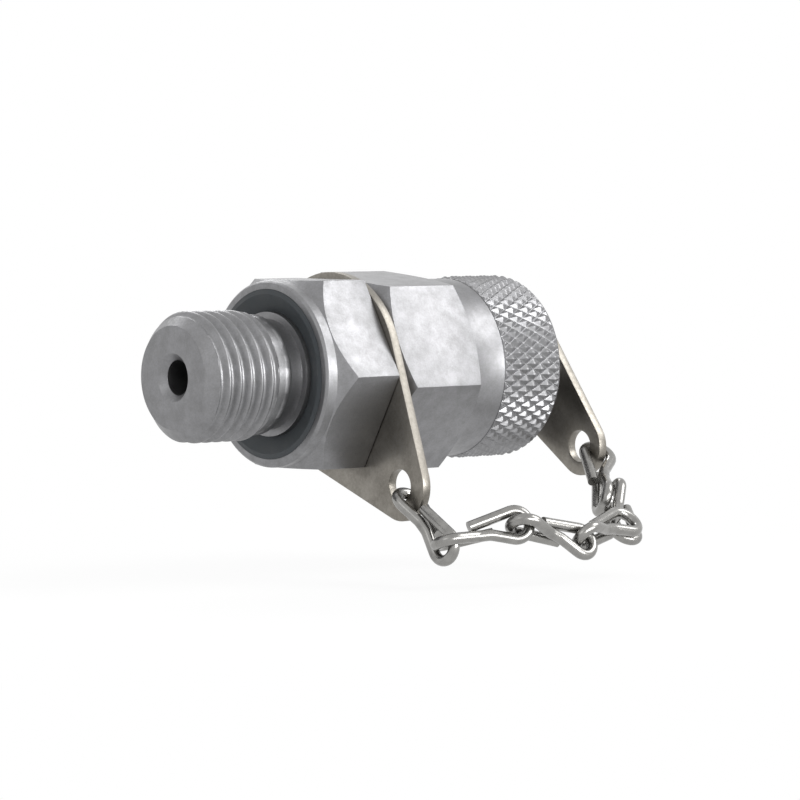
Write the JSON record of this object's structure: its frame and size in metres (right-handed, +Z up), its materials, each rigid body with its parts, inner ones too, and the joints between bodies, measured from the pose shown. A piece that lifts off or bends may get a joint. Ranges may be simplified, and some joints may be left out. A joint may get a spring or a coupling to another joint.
{
  "type": "hydraulic test point coupling",
  "caption": "Hydraulic pressure test point: threaded stud with captive seal, spring-closed check valve, test port and a screw cap kept on a knotted chain.",
  "frame": {"origin": "centre of the collar's sealing face, on the bore's axis", "axes": "+X along the axis from the stud to the cap; +Z up, normal to a flat of the body's hexagon; -Y towards the side on which the chain hangs"},
  "size_m": [0.0499, 0.0356, 0.029],
  "materials": {
    "zinc_steel": "zinc plated, satin",
    "pressed_steel": "pressed sheet, zinc plated",
    "turned_steel": "turned",
    "spring_steel": "drawn wire",
    "bright_wire": "nickel plated, bright",
    "black_rubber": "matt"
  },
  "bodies": {
    "fitting": {"stud_body": "zinc_steel", "port_seal_ring": "black_rubber", "probe_guide": "turned_steel", "probe_seal_ring": "black_rubber", "guide_seal_ring": "black_rubber", "snap_ring": "spring_steel", "valve_spring": "spring_steel"},
    "valve": {"valve_poppet": "turned_steel", "poppet_seal": "black_rubber"},
    "cap_pin": {"swivel_pin": "turned_steel", "pin_washer": "turned_steel"},
    "cap": {"protective_cap": "zinc_steel", "cap_seal": "black_rubber"},
    "body_tab": {"body_chain_tab": "pressed_steel"},
    "cap_tab": {"cap_chain_tab": "pressed_steel"},
    "link_1": {"chain_link_1": "bright_wire"},
    "link_2": {"chain_link_2": "bright_wire"},
    "link_3": {"chain_link_3": "bright_wire"},
    "link_4": {"chain_link_4": "bright_wire"},
    "link_5": {"chain_link_5": "bright_wire"},
    "link_6": {"chain_link_6": "bright_wire"}
  },
  "joints": [
    {"name": "cap_travel", "type": "slide", "parent": "fitting", "child": "cap_pin", "axis": [1, 0, 0], "range_m": [0, 0.0042]},
    {"name": "cap_turn", "type": "hinge", "parent": "cap_pin", "child": "cap", "pos_m": [0.0278, 0, 0], "axis": [1, 0, 0], "range_deg": [0, 720]},
    {"name": "valve_lift", "type": "slide", "parent": "fitting", "child": "valve", "axis": [-1, 0, 0], "range_m": [0, 0.0035], "stiffness_N_per_m": 2000, "springref_m": -0.0015, "deforming": ["valve_spring"]},
    {"name": "body_tab_swivel", "type": "hinge", "parent": "fitting", "child": "body_tab", "pos_m": [0.00875, 0, 0], "axis": [1, 0, 0], "continuous": true},
    {"name": "cap_tab_swivel", "type": "hinge", "parent": "cap_pin", "child": "cap_tab", "pos_m": [0.0357, 0, 0], "axis": [1, 0, 0], "continuous": true},
    {"name": "link_1_swing", "type": "hinge", "parent": "body_tab", "child": "link_1", "pos_m": [0.0085, -0.0109, -0.0118], "axis": [0.3004, 0.0701, 0.9512], "range_deg": [0, 2.95]},
    {"name": "link_2_swing", "type": "hinge", "parent": "link_1", "child": "link_2", "pos_m": [0.0067, -0.0183, -0.0163], "axis": [0.3311, -0.7726, 0.5418], "range_deg": [0, 5.85]},
    {"name": "link_3_swing", "type": "hinge", "parent": "link_2", "child": "link_3", "pos_m": [0.0136, -0.0221, -0.0142], "axis": [0.0401, -0.331, 0.9428], "range_deg": [0, 1.65]},
    {"name": "link_4_swing", "type": "hinge", "parent": "link_3", "child": "link_4", "pos_m": [0.0212, -0.0234, -0.0162], "axis": [0.0701, 0.6207, -0.7809], "range_deg": [0, 9.25]},
    {"name": "link_5_swing", "type": "hinge", "parent": "link_4", "child": "link_5", "pos_m": [0.0293, -0.0214, -0.0168], "axis": [0.1701, 0.6503, -0.7404], "range_deg": [0, 21.65]},
    {"name": "link_6_swing", "type": "hinge", "parent": "link_5", "child": "link_6", "pos_m": [0.0315, -0.0162, -0.0139], "axis": [-0.4284, -0.5081, 0.7472], "range_deg": [0, 13.05]}
  ],
  "couplings": [
    {"joint": "cap_travel", "follows": "cap_turn", "m_per_rad": 0.00031831},
    {"joint": "cap_tab_swivel", "follows": "body_tab_swivel", "ratio": 1},
    {"joint": "link_1_swing", "follows": "cap_turn", "ratio": 0.0040278},
    {"joint": "link_2_swing", "follows": "cap_turn", "ratio": 0.0080556},
    {"joint": "link_3_swing", "follows": "cap_turn", "ratio": 0.0022222},
    {"joint": "link_4_swing", "follows": "cap_turn", "ratio": 0.012778},
    {"joint": "link_5_swing", "follows": "cap_turn", "ratio": 0.03},
    {"joint": "link_6_swing", "follows": "cap_turn", "ratio": 0.018056}
  ]
}
